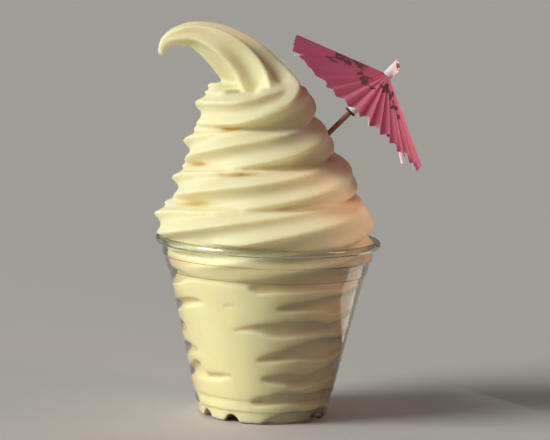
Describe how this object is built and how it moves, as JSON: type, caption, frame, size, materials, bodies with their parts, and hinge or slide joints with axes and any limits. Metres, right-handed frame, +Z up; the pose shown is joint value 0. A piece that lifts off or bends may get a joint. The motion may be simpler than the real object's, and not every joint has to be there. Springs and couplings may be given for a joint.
{
  "type": "soft serve cup",
  "caption": "Swirl of pale yellow soft serve piled high in a clear tapered plastic cup, its tip curled over, with a pleated pink paper parasol stuck in the side.",
  "frame": {"origin": "middle of the whole object's footprint box, on the surface that the cup stands on; the cup's own axis lies a few millimetres towards -X of it", "axes": "+Z up along the cup's axis, -Y towards the viewer of the picture, +X to the picture's right, the side with the parasol"},
  "size_m": [0.1088, 0.0918, 0.1598],
  "materials": {
    "clear_plastic": "clear, glossy, thin-walled",
    "soft_serve": "soft satin, slightly translucent frozen cream",
    "pink_paper": "matt, pleated, thin enough to let light through, printed sprigs",
    "white_card": "matt white card and rolled paper",
    "bamboo": "bare reddish-brown bamboo",
    "retainer_rubber": "matt black"
  },
  "bodies": {
    "root": {"cup": "clear_plastic", "soft_serve": "soft_serve", "parasol_pick": "bamboo", "parasol_canopy": "pink_paper", "parasol_finial": "white_card", "parasol_hub": "white_card", "parasol_collar": "white_card", "parasol_retainer": "retainer_rubber", "parasol_rib_1": "white_card", "parasol_rib_2": "white_card", "parasol_rib_3": "white_card", "parasol_rib_4": "white_card", "parasol_rib_5": "white_card", "parasol_rib_6": "white_card", "parasol_rib_7": "white_card", "parasol_rib_8": "white_card", "parasol_rib_9": "white_card", "parasol_rib_10": "white_card", "parasol_strut_1": "white_card", "parasol_strut_2": "white_card", "parasol_strut_3": "white_card", "parasol_strut_4": "white_card", "parasol_strut_5": "white_card", "parasol_strut_6": "white_card", "parasol_strut_7": "white_card", "parasol_strut_8": "white_card", "parasol_strut_9": "white_card", "parasol_strut_10": "white_card"}
  },
  "joints": []
}
